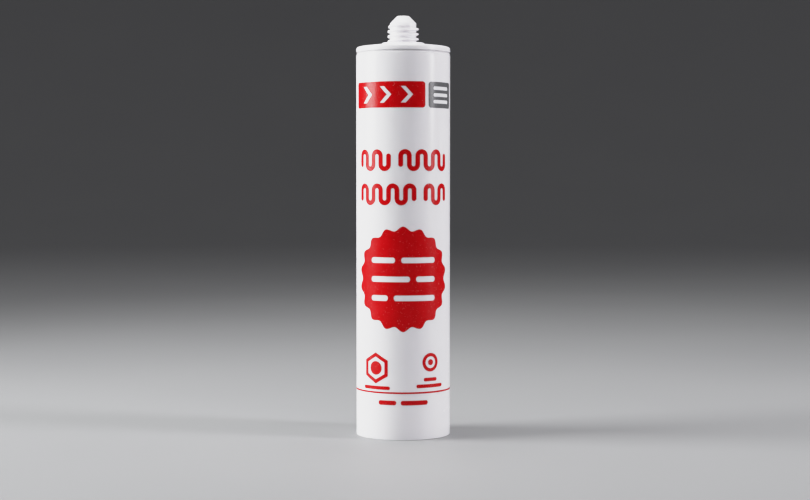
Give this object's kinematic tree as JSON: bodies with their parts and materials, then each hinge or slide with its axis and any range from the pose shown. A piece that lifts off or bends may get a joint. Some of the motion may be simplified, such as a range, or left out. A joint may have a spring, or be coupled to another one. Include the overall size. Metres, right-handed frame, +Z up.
{
  "type": "sealant cartridge",
  "caption": "Round white plastic sealant cartridge with a threaded nozzle neck, a ribbed sliding piston in its open base, and a plain red and grey print.",
  "frame": {"origin": "middle of the open base, on the surface that the cartridge stands on", "axes": "+Z up the cartridge's axis towards its neck, the printed front faces -Y, +X to the right of the front"},
  "size_m": [0.0502, 0.0502, 0.2232],
  "materials": {
    "barrel": "white polyethylene, satin gloss",
    "piston": "natural white polyethylene, matt",
    "sealant": "white acrylic paste",
    "red_ink": "red screen print ink, satin",
    "grey_ink": "dark grey screen print ink, satin"
  },
  "bodies": {
    "cartridge": {"cartridge_barrel": "barrel", "sealant": "sealant", "print_rule": "red_ink", "print_header_red": "red_ink", "print_header_grey": "grey_ink", "print_title": "red_ink", "print_badge": "red_ink", "print_marks": "red_ink", "print_footer": "red_ink"},
    "piston": {"piston": "piston"}
  },
  "joints": [
    {"name": "piston_slide", "type": "slide", "parent": "cartridge", "child": "piston", "axis": [0, 0, 1], "range_m": [0, 0.1576], "deforming": ["sealant"]}
  ]
}
